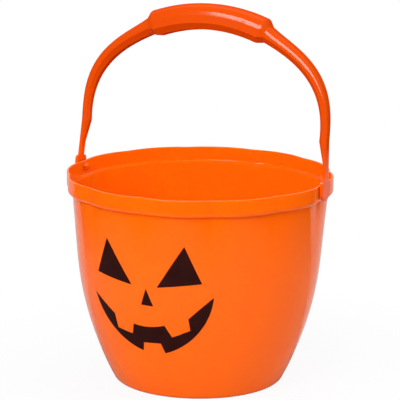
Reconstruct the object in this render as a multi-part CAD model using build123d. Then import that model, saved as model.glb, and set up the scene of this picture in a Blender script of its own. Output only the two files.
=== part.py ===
from build123d import *
import os
from math import acos, asin, atan2, cos, degrees, radians, sin, sqrt, tan

# Pumpkin candy pail: a thin lobed pail, a swinging bail and a face printed on the front.
# Millimetres, +Z up, origin at the centre of the foot, face towards -Y, bail axis along X.

# Pail
pail_height = 168.5
rim_radius = 107.0
wall_thickness = 1.6
wall_draft = 5.5
belly_height = 100.0
belly_radius = 260.0

# Collar around the mouth, stepped out from the wall
collar_height = 14.0
collar_step = 4.3
collar_thickness = 1.7
collar_round = 3.6
ledge_thickness = 1.7
ledge_round = 1.5
rim_round = 0.6

# Lobes: bulges side by side between the pivots, full at the collar, gone below the fade height
lobes_each_side = 6
lobe_centre_offset = 42.0
valley_width = 3.6
lobe_fade_height = 80.0
plain_sections = 3
fade_sections = 5

# Floor and foot
floor_thickness = 2.0
floor_round = 4.0
foot_recess = 1.5
foot_ring_width = 2.0
foot_round = 6.0

# Pivots: a pierced seat on the collar at each end of the bail's axis
peg_diameter = 4.4
peg_clearance = 0.2
pivot_gap = 0.3
seat_wall = 1.4
seat_projection = 1.3
seat_to_rim = 1.2

# Snap heads that hold the pegs inside the collar
head_catch = 0.9
head_length = 3.2
head_tip_diameter = 4.0
head_slot_width = 1.2
head_slot_depth = 4.5

# Bail pads, straps and the jog from each strap in to its arm
pad_width = 15.0
pad_shoulder_height = 9.5
pad_corner = 3.5
pad_thickness = 2.6
pad_round = 0.7
strap_width = 7.0
strap_thickness = 2.8
strap_height = 20.5
strap_inset = 0.9
strap_corner = 0.9
jog_height = 18.0

# Bail arms: upright at the foot, then a shoulder arc into the arch that carries the grip
arm_inset = 3.7
arm_rise = 11.5
arm_foot_thickness = 6.8
arm_foot_width = 8.0
arm_bend_thickness = 9.8
arm_bend_width = 14.0
arm_top_thickness = 13.0
arm_top_width = 16.5
arm_foot_corner = 2.0
arm_bend_corner = 4.0
arm_top_corner = 5.5
arm_foot_bevel = 2.0
arm_bend_bevel = 3.6
arm_top_bevel = 4.4
shoulder_radius = 63.0
arch_spread = 19.5
bail_lean = 8.2

# Grip
grip_length = 91.0
grip_radius = 135.0
grip_thickness = 20.8
grip_width = 20.8
grip_corner = 9.3
grip_bevel = 5.0
grip_end_length = 6.5
swell_run = 0.25
swell_ease = 0.12
corner_limit = 0.45

# Printed face, seen from straight ahead: X and height from the face's middle
print_thickness = 0.15
print_gap = 0.1
face_drop = 68.5
eye_pair_shift = -1.5
eye_top = (33.4, 45.4)
eye_outer = (45.0, 15.8)
eye_inner = (10.9, 11.2)
nose_top = (0.0, 9.2)
nose_left = (-4.7, -4.2)
nose_right = (5.6, -4.6)
mouth_left_tip = (-51.0, -2.5)
mouth_left_tooth = [(-31.5, -16.0), (-29.3, -27.8), (-15.4, -30.4), (-13.2, -21.5)]
mouth_lip_middle = (0.6, -22.4)
mouth_right_tooth = [(13.3, -20.0), (18.4, -29.7), (32.8, -23.1), (32.2, -13.4)]
mouth_right_tip = (51.0, 4.5)
mouth_right_curve = (37.0, -26.6)
mouth_low_tooth = [(11.2, -44.0), (8.6, -35.7), (-6.1, -36.5), (-7.3, -43.8)]
mouth_left_curve = (-33.0, -29.4)

# Values worked out from the sizes
on_base = (Align.CENTER, Align.CENTER, Align.MIN)
collar_base = pail_height - collar_height
ledge_height = collar_base + ledge_thickness
floor_top = foot_recess + floor_thickness
bore_diameter = peg_diameter + 2 * peg_clearance
seat_diameter = bore_diameter + 2 * seat_wall
head_diameter = bore_diameter + 2 * head_catch
pivot_height = pail_height - seat_to_rim - seat_diameter / 2
face_height = collar_base - face_drop
lobe_count = 2 * lobes_each_side
half_lobe = radians(180 / lobe_count)
half_valley = asin(valley_width / 2 / rim_radius)
draft = radians(wall_draft)


def wall_radius(z):
    """Crest radius of the wall: a straight draft above a belly arc tangent to it."""
    wall_top = rim_radius - collar_step
    draft_foot = wall_top - (collar_base - belly_height) * tan(draft)
    if z >= belly_height:
        return draft_foot + (z - belly_height) * tan(draft)
    arc_centre = draft_foot - belly_radius * cos(draft)
    arc_height = belly_height + belly_radius * sin(draft)
    return arc_centre + sqrt(belly_radius**2 - (arc_height - z) ** 2)


def lobe_offset(z):
    """How far the lobes' arc centres lie from the axis at a height."""
    share = (z - lobe_fade_height) / (collar_base - lobe_fade_height)
    return lobe_centre_offset * min(max(share, 0), 1) ** 2


def lobe_radii(crest, offset):
    """Radius where a lobe arc meets the valley arc, and radius of the valley's bottom."""
    joint_angle = half_lobe - half_valley
    across = offset * sin(joint_angle)
    joint = offset * cos(joint_angle) + sqrt((crest - offset) ** 2 - across**2)
    normal = atan2(joint * sin(joint_angle), joint * cos(joint_angle) - offset)
    turn = normal - half_lobe
    return joint, joint * (cos(half_valley) - sin(half_valley) * tan(turn / 2))


def lobed_face(crest, offset, z):
    """Face inside a ring of lobe arcs joined by tangent valley arcs."""
    joint, bottom = lobe_radii(crest, offset)

    def at(radius, angle):
        return (radius * cos(angle), radius * sin(angle), z)

    edges = []
    for i in range(lobe_count):
        valley = 2 * i * half_lobe
        following = valley + 2 * half_lobe
        start = at(joint, valley + half_valley)
        end = at(joint, following - half_valley)
        edges.append(ThreePointArc(at(joint, valley - half_valley), at(bottom, valley), start))
        edges.append(ThreePointArc(start, at(crest, valley + half_lobe), end))
    return make_face(edges)


def wall_form(grow):
    """Solid within the wall's outside, grown outwards by an amount."""
    plain_step = lobe_fade_height / plain_sections
    fade_step = (ledge_height - lobe_fade_height) / (fade_sections - 1)
    heights = [i * plain_step for i in range(plain_sections)]
    heights += [lobe_fade_height + i * fade_step for i in range(fade_sections)]
    return loft([lobed_face(wall_radius(z) + grow, lobe_offset(z), z) for z in heights])


def collar_form(shrink, base):
    """Upright lobed solid from a height up to the rim."""
    return extrude(lobed_face(rim_radius - shrink, lobe_centre_offset, base), pail_height - base)


def lowest_edges(shape):
    return shape.edges().group_by(Axis.Z)[0]


def highest_edges(shape):
    return shape.edges().group_by(Axis.Z)[-1]


def pivot_bar(diameter, start, end):
    """Round bar on the right pivot between two places along X."""
    bar = Cylinder(diameter / 2, end - start, align=on_base)
    return Pos(start, 0, pivot_height) * Rot(0, 90, 0) * bar


def both_sides(shape):
    return shape + mirror(shape, Plane.YZ)


# Faces met along the right pivot, from the inside out
collar_outside = lobe_radii(rim_radius, lobe_centre_offset)[1]
collar_inside = lobe_radii(rim_radius - collar_thickness, lobe_centre_offset)[1]
seat_face = collar_outside + seat_projection
pad_face = seat_face + pivot_gap
head_face = collar_inside - pivot_gap

# The bail's line: places along X, heights above the pivot, and arcs as (X, height, radius)
strap_line = pad_face + strap_thickness / 2
arm_line = strap_line - arm_inset
arm_foot_height = strap_height + jog_height
shoulder_height = arm_foot_height + arm_rise
shoulder_line = arm_line - shoulder_radius
arch_radius = arm_line + arch_spread
shoulder_over_arch = sqrt((arch_radius - shoulder_radius) ** 2 - shoulder_line**2)
arch_height = shoulder_height - shoulder_over_arch
bail_rise = arch_height + arch_radius
bend_angle = atan2(shoulder_over_arch, shoulder_line)
shoulder_arc = (shoulder_line, shoulder_height, shoulder_radius)
arch_arc = (0, arch_height, arch_radius)
grip_arc = (0, bail_rise - grip_radius, grip_radius)


def pail_body():
    outside = fillet(lowest_edges(wall_form(0)), foot_round)
    outside += fillet(lowest_edges(collar_form(0, collar_base)), collar_round)
    outside += both_sides(pivot_bar(seat_diameter, collar_inside, seat_face))
    hollow = split(wall_form(-wall_thickness), Plane.XY.offset(floor_top), keep=Keep.TOP)
    hollow = fillet(lowest_edges(hollow), floor_round)
    mouth = fillet(lowest_edges(collar_form(collar_thickness, ledge_height)), ledge_round)
    recess = Cylinder(wall_radius(0) - foot_round - foot_ring_width, foot_recess, align=on_base)
    bore = pivot_bar(bore_diameter, head_face, pad_face)
    body = outside - hollow - mouth - recess - both_sides(bore)
    return fillet(highest_edges(body), rim_round)


def bail_section(x, height, angle, thickness, width, corner, bevel):
    """Section across the bail's line turned inwards by an angle, round outside and bevelled inside."""
    limit = corner_limit * min(width, thickness)
    outline = Rectangle(width, thickness)
    outline = fillet(outline.vertices().group_by(Axis.Y)[0], min(corner, limit))
    outline = chamfer(outline.vertices().group_by(Axis.Y)[-1], min(bevel, limit))
    middle = (x, 0, pivot_height + height)
    across = Plane(middle, x_dir=(0, 1, 0), z_dir=(-sin(angle), 0, cos(angle)))
    return across * outline


def arc_section(arc, angle, *sizes):
    """Section across the bail's line at an angle along one of its arcs."""
    line, height, radius = arc
    return bail_section(line + radius * cos(angle), height + radius * sin(angle), angle, *sizes)


def between(low, high, share):
    return low + (high - low) * share


def bail_pad():
    outline = Circle(pad_width / 2)
    outline += Pos(0, pad_shoulder_height / 2) * Rectangle(pad_width, pad_shoulder_height)
    outline = fillet(outline.vertices().group_by(Axis.Y)[-1], pad_corner)
    place = Plane((pad_face, 0, pivot_height), x_dir=(0, 1, 0), z_dir=(1, 0, 0))
    pad = extrude(place * outline, pad_thickness)
    return fillet(pad.edges().group_by(Axis.X)[-1], pad_round)


def bail_peg():
    neck = pivot_bar(peg_diameter, head_face - head_length / 2, pad_face + pad_thickness / 2)
    head = Cone(head_diameter / 2, head_tip_diameter / 2, head_length, align=on_base)
    peg = neck + Pos(head_face, 0, pivot_height) * Rot(0, -90, 0) * head
    slot = Box(head_slot_depth, head_diameter, head_slot_width)
    return peg - Pos(head_face - head_length + head_slot_depth / 2, 0, pivot_height) * slot


def bail_arm():
    strap = (strap_thickness, strap_width, strap_corner, strap_corner)
    foot = (arm_foot_thickness, arm_foot_width, arm_foot_corner, arm_foot_bevel)
    bend = (arm_bend_thickness, arm_bend_width, arm_bend_corner, arm_bend_bevel)
    top = (arm_top_thickness, arm_top_width, arm_top_corner, arm_top_bevel)
    half_bend = [between(low, high, 1 / 2) for low, high in zip(foot, bend)]
    strap_foot = bail_section(strap_line, pad_shoulder_height / 2, 0, *strap)
    strap_top = bail_section(strap_line - strap_inset, strap_height, 0, *strap)
    arm_foot = bail_section(arm_line, arm_foot_height, 0, *foot)
    arm_top_angle = acos((grip_length / 2 + grip_end_length) / arch_radius)
    upper = [
        arm_foot,
        arc_section(shoulder_arc, 0, *foot),
        arc_section(shoulder_arc, bend_angle / 2, *half_bend),
        arc_section(arch_arc, bend_angle, *bend),
        arc_section(arch_arc, arm_top_angle, *top),
    ]
    lower = loft([strap_foot, strap_top], ruled=True) + loft([strap_top, arm_foot], ruled=True)
    return lower + loft(upper)


def grip_shoulder():
    """Swelling from the arm to the end of the grip."""
    top = (arm_top_thickness, arm_top_width, arm_top_corner, arm_top_bevel)
    grip = (grip_thickness, grip_width, grip_corner, grip_bevel)
    steps = [
        (arch_arc, 1, 0),
        (arch_arc, 1 - swell_run, swell_ease),
        (grip_arc, swell_run, 1 - swell_ease),
        (grip_arc, 0, 1),
    ]
    sections = []
    for arc, along, growth in steps:
        angle = acos((grip_length / 2 + along * grip_end_length) / arc[2])
        sizes = [between(low, high, growth) for low, high in zip(top, grip)]
        sections.append(arc_section(arc, angle, *sizes))
    return loft(sections)


def bail_handle():
    half = bail_pad() + bail_peg() + bail_arm() + grip_shoulder()
    grip_angle = acos(grip_length / 2 / grip_radius)
    grip_sizes = (grip_thickness, grip_width, grip_corner, grip_bevel)
    grip_end = arc_section(grip_arc, grip_angle, *grip_sizes)
    grip_axis = Axis((0, 0, pivot_height + bail_rise - grip_radius), (0, -1, 0))
    grip = revolve(grip_end, grip_axis, 180 - 2 * degrees(grip_angle))
    pivot_axis = Axis((0, 0, pivot_height), (1, 0, 0))
    return (both_sides(half) + grip).rotate(pivot_axis, -bail_lean)


def printed(film, outline):
    """Part of the ink's film that lies behind an outline seen from straight ahead."""
    return film & extrude(Plane.XZ * Pos(0, face_height) * outline, rim_radius)


def eye_outline(side):
    corners = [(eye_pair_shift + side * x, z) for x, z in (eye_top, eye_outer, eye_inner)]
    return make_face(Polyline(*corners, close=True))


def nose_outline():
    return make_face(Polyline(nose_top, nose_left, nose_right, close=True))


def mouth_outline():
    left_lip = mouth_left_tooth[-1]
    right_lip = mouth_right_tooth[0]
    right_low = mouth_low_tooth[0]
    left_low = mouth_low_tooth[-1]
    return make_face(
        [
            Polyline(mouth_left_tip, *mouth_left_tooth),
            ThreePointArc(left_lip, mouth_lip_middle, right_lip),
            Polyline(*mouth_right_tooth, mouth_right_tip),
            ThreePointArc(mouth_right_tip, mouth_right_curve, right_low),
            Polyline(*mouth_low_tooth),
            ThreePointArc(left_low, mouth_left_curve, mouth_left_tip),
        ]
    )


ink_film = wall_form(print_gap + print_thickness) - wall_form(print_gap)
parts = {
    "pail_body": pail_body(),
    "bail_handle": bail_handle(),
    "left_eye_print": printed(ink_film, eye_outline(-1)),
    "right_eye_print": printed(ink_film, eye_outline(1)),
    "nose_print": printed(ink_film, nose_outline()),
    "mouth_print": printed(ink_film, mouth_outline()),
}
os.makedirs("parts", exist_ok=True)
for name, shape in parts.items():
    export_step(shape, f"parts/{name}.step")
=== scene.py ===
from math import cos, radians, sin

import bpy
from mathutils import Matrix, Vector

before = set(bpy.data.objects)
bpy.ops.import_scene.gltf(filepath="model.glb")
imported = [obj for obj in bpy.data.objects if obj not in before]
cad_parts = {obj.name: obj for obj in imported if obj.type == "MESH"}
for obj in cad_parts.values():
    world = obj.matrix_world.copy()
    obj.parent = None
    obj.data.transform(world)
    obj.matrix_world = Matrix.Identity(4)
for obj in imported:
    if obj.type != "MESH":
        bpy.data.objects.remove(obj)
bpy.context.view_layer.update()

# Camera at the photograph's viewing angle: metres, degrees, millimetres of lens on a 36 mm sensor
camera_azimuth = 25.0
camera_distance = 1.8726
camera_height = 0.5634
camera_pitch = 12.569
camera_roll = 0.412
camera_lens = 216.0
camera_shift = 0.0011
camera_clip_end = 50.0

# Colours, linear
pail_colour = (0.85, 0.134, 0.0015)
pail_deep_colour = (0.83, 0.126, 0.0015)
bail_colour = (0.62, 0.059, 0.001)
bail_deep_colour = (0.59, 0.054, 0.001)
# Painted light: a paler orange for the bail's thin ends, standing in for light that falls on the pads
bail_end_painted_light_colour = (0.83, 0.08, 0.001)
ink_colour = (0.0185, 0.003, 0.0024)
ink_worn_colour = (0.024, 0.0044, 0.0036)
table_colour = (0.62, 0.62, 0.62)
room_colour = (0.12, 0.12, 0.12)

# Finish: lowest and highest roughness, gloss, and the height of the moulded skin's ripple in metres
pail_roughness = (0.06, 0.1)
pail_gloss = 0.28
pail_ripple_height = 0.00001
bail_roughness = (0.09, 0.11)
bail_gloss = 0.42
bail_ripple_height = 0.000002
ink_roughness = (0.38, 0.5)
ink_gloss = 0.05
floor_roughness = 0.8

# Patterns: cells per metre, detail, and the stretch of the clouds along each axis
cloud_cells = 14
cloud_stretch = (1, 1, 0.4)
wear_cells = 60
wear_detail = 4
ripple_cells = 350
ink_wear_cells = 90
ink_wear_detail = 3
ink_sheen_cells = 200

# Light inside the pail's thin wall: its share, how far red, green and blue reach, and the reach in metres
scatter_share = 0.8
scatter_colours = (1.0, 0.45, 0.08)
scatter_reach = 0.005

# The bail's thin ends reach up to the first height, its thick arms start at the second, in metres
thin_below = 0.172
thick_above = 0.196

# The thick arms' gloss fades as they turn from the eye: 0 is face on, 1 is edge on
fade_start = 0.25
fade_end = 0.55

# Key light: degrees, metres, watts
key_azimuth = 0.0
key_elevation = 30.0
key_distance = 1.8
key_size = (1.55, 1.0)
key_power = 40.0
key_aim = (0, 0, 0.17)

# Light from all around, and what gloss sees: the table near the object, past it a backdrop or a dark room
ambient_azimuth = 145.0
ambient_low = 0.28
ambient_high = 1.6
table_reach = 0.42
table_edge = 0.12
table_dimming = 0.5
backdrop_azimuth = 203.0
backdrop_half_angle = 59.0
backdrop_edge = 0.03
backdrop_level = 0.65
room_level = 0.03

# Floor, and how much white the camera sees in it, so that a shadow stays close to the object
floor_size = 24.0
floor_whiteness = 0.91
shadow_reach = 0.12
white_reach = 0.3


def add_node(tree, kind, **settings):
    node = tree.nodes.new(kind)
    for name, value in settings.items():
        setattr(node, name, value)
    return node


def new_material(name):
    material = bpy.data.materials.new(name)
    material.use_nodes = True
    return material, material.node_tree, material.node_tree.nodes["Principled BSDF"]


def object_noise(tree, scale, detail=2.0, stretch=(1, 1, 1)):
    """Noise fixed to the object; scale in cells per metre, stretched by a factor along each axis."""
    place = add_node(tree, "ShaderNodeTexCoord")
    stretched = add_node(tree, "ShaderNodeMapping")
    stretched.inputs["Scale"].default_value = stretch
    noise = add_node(tree, "ShaderNodeTexNoise")
    noise.inputs["Scale"].default_value = scale
    noise.inputs["Detail"].default_value = detail
    tree.links.new(place.outputs["Object"], stretched.inputs["Vector"])
    tree.links.new(stretched.outputs["Vector"], noise.inputs["Vector"])
    return noise.outputs["Fac"]


def ranged(tree, factor, low, high, start=0.3, end=0.7):
    """A factor between start and end turned into a value between low and high."""
    spread = add_node(tree, "ShaderNodeMapRange")
    spread.inputs["From Min"].default_value = start
    spread.inputs["From Max"].default_value = end
    spread.inputs["To Min"].default_value = low
    spread.inputs["To Max"].default_value = high
    tree.links.new(factor, spread.inputs["Value"])
    return spread.outputs["Result"]


def blended(tree, factor, first, second):
    mix = add_node(tree, "ShaderNodeMix", data_type="RGBA")
    mix.inputs["A"].default_value = (*first, 1)
    mix.inputs["B"].default_value = (*second, 1)
    tree.links.new(factor, mix.inputs["Factor"])
    return mix.outputs["Result"]


def math_node(tree, operation, *values):
    node = add_node(tree, "ShaderNodeMath", operation=operation)
    for value, socket in zip(values, node.inputs):
        if isinstance(value, (int, float)):
            socket.default_value = value
        else:
            tree.links.new(value, socket)
    return node.outputs["Value"]


def moulded_plastic(name, colour, deep_colour, roughness, gloss, ripple_height):
    material, tree, shader = new_material(name)
    clouds = ranged(tree, object_noise(tree, cloud_cells, stretch=cloud_stretch), 0, 1)
    tree.links.new(blended(tree, clouds, colour, deep_colour), shader.inputs["Base Color"])
    wear = object_noise(tree, wear_cells, wear_detail)
    tree.links.new(ranged(tree, wear, *roughness), shader.inputs["Roughness"])
    ripple = add_node(tree, "ShaderNodeBump")
    ripple.inputs["Distance"].default_value = ripple_height
    tree.links.new(object_noise(tree, ripple_cells), ripple.inputs["Height"])
    tree.links.new(ripple.outputs["Normal"], shader.inputs["Normal"])
    shader.inputs["Specular IOR Level"].default_value = gloss
    return material, tree, shader


def pail_plastic():
    """Orange plastic in a wall thin enough for light to spread in it."""
    material, tree, shader = moulded_plastic(
        "pail_plastic", pail_colour, pail_deep_colour, pail_roughness, pail_gloss, pail_ripple_height
    )
    shader.inputs["Subsurface Weight"].default_value = scatter_share
    shader.inputs["Subsurface Radius"].default_value = scatter_colours
    shader.inputs["Subsurface Scale"].default_value = scatter_reach
    return material


def thin_ends(tree):
    """1 at the bail's thin ends, 0 in its thick arms."""
    place = add_node(tree, "ShaderNodeTexCoord")
    axes = add_node(tree, "ShaderNodeSeparateXYZ")
    tree.links.new(place.outputs["Object"], axes.inputs["Vector"])
    return ranged(tree, axes.outputs["Z"], 1, 0, thin_below, thick_above)


def bail_plastic():
    """Deeper orange with painted light at the thin ends, where a paler orange stands in for light on the
    pads; gloss fades where the thick arms turn from the eye.
    """
    material, tree, shader = moulded_plastic(
        "bail_plastic", bail_colour, bail_deep_colour, bail_roughness, bail_gloss, bail_ripple_height
    )
    ends = thin_ends(tree)
    paint = shader.inputs["Base Color"]
    # Painted light: the thin ends are mixed towards a paler orange that stands in for light on the pads
    mix = add_node(tree, "ShaderNodeMix", data_type="RGBA")
    mix.inputs["B"].default_value = (*bail_end_painted_light_colour, 1)
    tree.links.new(ends, mix.inputs["Factor"])
    tree.links.new(paint.links[0].from_socket, mix.inputs["A"])
    tree.links.new(mix.outputs["Result"], paint)
    facing = add_node(tree, "ShaderNodeLayerWeight").outputs["Facing"]
    faded = ranged(tree, facing, bail_gloss, 0, fade_start, fade_end)
    kept = math_node(tree, "MULTIPLY", ends, bail_gloss)
    tree.links.new(math_node(tree, "MAXIMUM", faded, kept), shader.inputs["Specular IOR Level"])
    return material


def face_ink():
    material, tree, shader = new_material("face_ink")
    wear = ranged(tree, object_noise(tree, ink_wear_cells, ink_wear_detail), 0, 1)
    tree.links.new(blended(tree, wear, ink_colour, ink_worn_colour), shader.inputs["Base Color"])
    sheen = object_noise(tree, ink_sheen_cells)
    tree.links.new(ranged(tree, sheen, *ink_roughness), shader.inputs["Roughness"])
    shader.inputs["Specular IOR Level"].default_value = ink_gloss
    return material


def dress(finish, *names):
    """Give the named solids one material."""
    for name in names:
        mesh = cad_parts[name].data
        mesh.materials.clear()
        mesh.materials.append(finish)


def key_softbox():
    """Softbox aimed at a point, placed by its direction from there."""
    lamp = bpy.data.lights.new("key_softbox", "AREA")
    lamp.shape = "RECTANGLE"
    lamp.size, lamp.size_y = key_size
    lamp.energy = key_power
    a, e = radians(key_azimuth), radians(key_elevation)
    back = Vector((sin(a) * cos(e), -cos(a) * cos(e), sin(e)))
    softbox = bpy.data.objects.new("key_softbox", lamp)
    softbox.location = Vector(key_aim) + back * key_distance
    softbox.rotation_mode = "QUATERNION"
    softbox.rotation_quaternion = (-back).to_track_quat("-Z", "Y")
    return softbox


def towards(tree, direction, azimuth):
    """Cosine of the level angle between a direction and an azimuth."""
    level = add_node(tree, "ShaderNodeVectorMath", operation="MULTIPLY")
    level.inputs[1].default_value = (1, 1, 0)
    ahead = add_node(tree, "ShaderNodeVectorMath", operation="NORMALIZE")
    along = add_node(tree, "ShaderNodeVectorMath", operation="DOT_PRODUCT")
    along.inputs[1].default_value = (sin(radians(azimuth)), -cos(radians(azimuth)), 0)
    tree.links.new(direction, level.inputs[0])
    tree.links.new(level.outputs["Vector"], ahead.inputs[0])
    tree.links.new(ahead.outputs["Vector"], along.inputs[0])
    return along.outputs["Value"]


def backdrop_zone(tree, direction):
    """1 towards the backdrop behind the object, 0 towards the room in front of it."""
    edge = cos(radians(backdrop_half_angle))
    along = towards(tree, direction, backdrop_azimuth)
    return ranged(tree, along, 0, 1, edge - backdrop_edge, edge + backdrop_edge)


def ray_kinds(tree):
    """Whether a ray comes from the camera, and whether it comes from gloss or a clear part."""
    path = add_node(tree, "ShaderNodeLightPath").outputs
    gloss = math_node(tree, "MAXIMUM", path["Is Glossy Ray"], path["Is Transmission Ray"])
    return path["Is Camera Ray"], gloss


def white_surroundings():
    """White to the camera, backdrop or dark room to gloss, and light from one side to all else."""
    world = bpy.data.worlds.new("studio")
    world.use_nodes = True
    tree = world.node_tree
    seen, gloss = ray_kinds(tree)
    direction = add_node(tree, "ShaderNodeTexCoord").outputs["Generated"]
    zone = backdrop_zone(tree, direction)
    mirrored = math_node(tree, "MULTIPLY", gloss, ranged(tree, zone, room_level, backdrop_level, 0, 1))
    ambient = ranged(tree, towards(tree, direction, ambient_azimuth), ambient_low, ambient_high, -1, 1)
    lighting = math_node(tree, "MULTIPLY", math_node(tree, "SUBTRACT", 1, gloss), ambient)
    strength = math_node(tree, "MAXIMUM", seen, math_node(tree, "ADD", mirrored, lighting))
    tree.links.new(strength, tree.nodes["Background"].inputs["Strength"])
    tree.nodes["Background"].inputs["Color"].default_value = (1, 1, 1, 1)
    return world


def floor_paint():
    """Nearly white to the camera, so that it keeps a soft shadow; a pale table in a dark room to all else."""
    material, tree, shader = new_material("floor_paint")
    shader.inputs["Roughness"].default_value = floor_roughness
    shader.inputs["Specular IOR Level"].default_value = 0.0
    seen, gloss = ray_kinds(tree)
    place = add_node(tree, "ShaderNodeNewGeometry").outputs["Position"]
    reach = add_node(tree, "ShaderNodeVectorMath", operation="LENGTH")
    tree.links.new(place, reach.inputs[0])
    past = ranged(tree, reach.outputs["Value"], 0, 1, table_reach - table_edge, table_reach + table_edge)
    tree.links.new(blended(tree, past, table_colour, room_colour), shader.inputs["Base Color"])
    zone = backdrop_zone(tree, place)
    white = add_node(tree, "ShaderNodeEmission")
    mirrored = ranged(tree, zone, room_level, backdrop_level, 0, 1)
    tree.links.new(math_node(tree, "MAXIMUM", seen, mirrored), white.inputs["Strength"])
    whiteness = ranged(tree, reach.outputs["Value"], floor_whiteness, 1, shadow_reach, white_reach)
    covered = math_node(tree, "MAXIMUM", math_node(tree, "MAXIMUM", past, zone), table_dimming)
    beyond = math_node(tree, "MULTIPLY", gloss, covered)
    share = math_node(tree, "ADD", math_node(tree, "MULTIPLY", seen, whiteness), beyond)
    mix = add_node(tree, "ShaderNodeMixShader")
    tree.links.new(share, mix.inputs["Fac"])
    tree.links.new(shader.outputs["BSDF"], mix.inputs[1])
    tree.links.new(white.outputs["Emission"], mix.inputs[2])
    tree.links.new(mix.outputs["Shader"], tree.nodes["Material Output"].inputs["Surface"])
    return material


def photo_camera():
    """Camera placed by its azimuth, distance and height, then pitched down and rolled."""
    azimuth, pitch, roll = radians(camera_azimuth), radians(camera_pitch), radians(camera_roll)
    forward = Vector((-sin(azimuth) * cos(pitch), cos(azimuth) * cos(pitch), -sin(pitch)))
    level_right = Vector((cos(azimuth), sin(azimuth), 0))
    level_up = level_right.cross(forward)
    right = level_right * cos(roll) + level_up * sin(roll)
    up = right.cross(forward)
    place = (sin(azimuth) * camera_distance, -cos(azimuth) * camera_distance, camera_height)
    camera = bpy.data.objects.new("camera", bpy.data.cameras.new("camera"))
    camera.data.lens = camera_lens
    camera.data.shift_x = camera_shift
    camera.data.clip_end = camera_clip_end
    camera.matrix_world = Matrix.Translation(place) @ Matrix((right, up, -forward)).transposed().to_4x4()
    return camera


# Materials
dress(pail_plastic(), "pail_body")
dress(bail_plastic(), "bail_handle")
dress(face_ink(), "left_eye_print", "right_eye_print", "nose_print", "mouth_print")

# Light and surroundings
bpy.context.scene.collection.objects.link(key_softbox())
bpy.context.scene.world = white_surroundings()

# Floor
bpy.ops.mesh.primitive_plane_add(size=floor_size)
floor = bpy.context.object
floor.name = "floor"
floor.data.materials.append(floor_paint())

# Camera
camera = photo_camera()
bpy.context.scene.collection.objects.link(camera)
bpy.context.scene.camera = camera

bpy.context.scene.view_settings.view_transform = "Standard"
